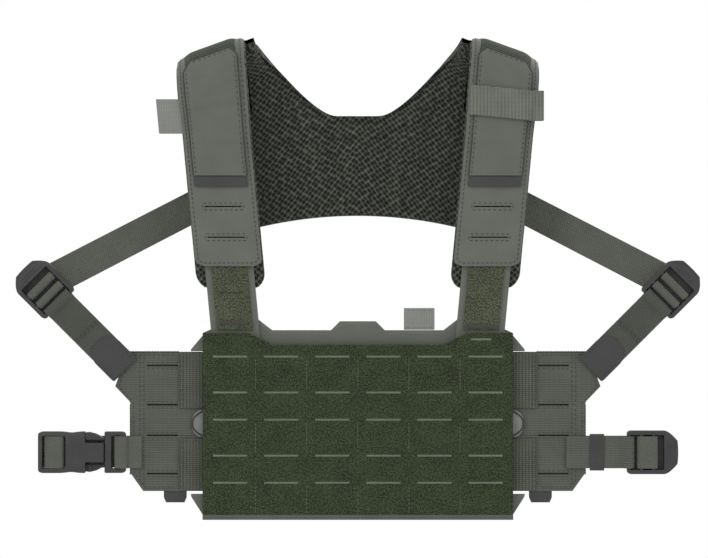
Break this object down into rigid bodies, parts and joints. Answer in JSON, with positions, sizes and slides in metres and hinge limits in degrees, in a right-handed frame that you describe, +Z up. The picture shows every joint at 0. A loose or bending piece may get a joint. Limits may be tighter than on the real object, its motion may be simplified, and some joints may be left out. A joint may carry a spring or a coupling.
{
  "type": "safety harness vest",
  "caption": "Panel chest rig on a padded H-shaped shoulder harness, with folding side wings, diagonal straps, ladder locks and a side-release waist buckle.",
  "frame": {"origin": "where the wearer's shoulders carry the vest: midway between the two shoulder pads, under the crown of their arches", "axes": "+Z up, -Y is the front of the vest, +X is the wearer's left"},
  "size_m": [0.5324, 0.0785, 0.3823],
  "materials": {
    "laminate": "matte coated nylon laminate, grey-green",
    "loop_panel": "brushed loop fabric, dark green",
    "spacer_mesh": "open 3-D spacer mesh, dark green",
    "foam": "closed-cell foam",
    "webbing": "woven nylon webbing, ranger green",
    "elastic": "woven elastic, ranger green",
    "pale_webbing": "pale grey woven tape",
    "dark_trim": "smooth dark laminate",
    "plastic": "moulded acetal, dark grey",
    "board": "stiffening sheet"
  },
  "bodies": {
    "harness": {"body_liner": "spacer_mesh", "front_panel": "loop_panel", "left_diagonal_strap": "webbing", "left_keeper_band": "elastic", "left_keeper_loop": "elastic", "left_pad_foam": "foam", "left_pad_lining": "spacer_mesh", "left_pad_shell": "laminate", "left_sleeve": "laminate", "left_sleeve_cuff": "dark_trim", "left_strap_loop_face": "loop_panel", "left_strap_tongue": "laminate", "panel_backer": "laminate", "panel_pull_tab": "pale_webbing", "panel_stiffener": "board", "right_diagonal_strap": "webbing", "right_pad_foam": "foam", "right_pad_lining": "spacer_mesh", "right_pad_shell": "laminate", "right_pull_tab": "pale_webbing", "right_sleeve": "laminate", "right_sleeve_cuff": "dark_trim", "right_strap_loop_face": "loop_panel", "right_strap_tongue": "laminate", "waist_strap": "webbing", "yoke_foam": "foam", "yoke_mesh": "spacer_mesh", "yoke_shell": "laminate"},
    "right_wing": {"right_arm": "webbing", "right_arm_patch": "dark_trim", "right_diagonal_strap_end": "webbing", "right_hook_tab": "dark_trim", "right_wing": "webbing", "right_wing_elastic_lower": "elastic", "right_wing_elastic_upper": "elastic", "right_waist_webbing": "webbing", "buckle_plug": "plastic", "waist_strap_right_end": "webbing"},
    "left_wing": {"left_arm": "webbing", "left_arm_patch": "dark_trim", "left_diagonal_strap_end": "webbing", "left_hook_tab": "dark_trim", "left_wing": "webbing", "left_wing_elastic_lower": "elastic", "left_wing_elastic_upper": "elastic", "left_waist_webbing": "webbing", "waist_strap_left_end": "webbing"},
    "right_lock": {"right_ladder_lock": "plastic", "right_lock_wrap_lower": "webbing", "right_lock_wrap_upper": "webbing"},
    "left_lock": {"left_ladder_lock": "plastic", "left_lock_wrap_lower": "webbing", "left_lock_wrap_upper": "webbing"},
    "waist_lock": {"waist_ladder_lock": "plastic", "waist_lock_wrap": "webbing"},
    "buckle_socket": {"buckle_socket": "plastic", "buckle_strap_loop": "webbing"},
    "buckle_tab_upper": {"buckle_tab_upper": "plastic"},
    "buckle_tab_lower": {"buckle_tab_lower": "plastic"},
    "triglide": {"triglide": "plastic"}
  },
  "joints": [
    {"name": "left_wing_fold", "type": "hinge", "parent": "harness", "child": "left_wing", "pos_m": [0.122, -0.021, -0.285], "axis": [0, 0, 1], "range_deg": [0, 70]},
    {"name": "right_wing_fold", "type": "hinge", "parent": "harness", "child": "right_wing", "pos_m": [-0.122, -0.021, -0.285], "axis": [0, 0, -1], "range_deg": [0, 70]},
    {"name": "left_lock_tilt", "type": "hinge", "parent": "left_wing", "child": "left_lock", "pos_m": [0.23403, -0.0287, -0.19297], "axis": [0.7071, 0, -0.7071], "range_deg": [0, 35]},
    {"name": "right_lock_tilt", "type": "hinge", "parent": "right_wing", "child": "right_lock", "pos_m": [-0.23403, -0.0287, -0.19297], "axis": [0.7071, 0, 0.7071], "range_deg": [0, 35]},
    {"name": "waist_lock_tilt", "type": "hinge", "parent": "left_wing", "child": "waist_lock", "pos_m": [0.212, -0.0287, -0.3095], "axis": [0, 0, -1], "range_deg": [0, 35]},
    {"name": "triglide_slide", "type": "slide", "parent": "left_wing", "child": "triglide", "axis": [1, 0, 0], "range_m": [-0.002, 0.009]},
    {"name": "buckle_release", "type": "slide", "parent": "right_wing", "child": "buckle_socket", "axis": [-1, 0, 0], "range_m": [0, 0.045]},
    {"name": "upper_tab_press", "type": "slide", "parent": "right_wing", "child": "buckle_tab_upper", "axis": [0, 0, -1], "range_m": [0, 0.0022], "stiffness_N_per_m": 900},
    {"name": "lower_tab_press", "type": "slide", "parent": "right_wing", "child": "buckle_tab_lower", "axis": [0, 0, 1], "range_m": [0, 0.0022], "stiffness_N_per_m": 900}
  ]
}
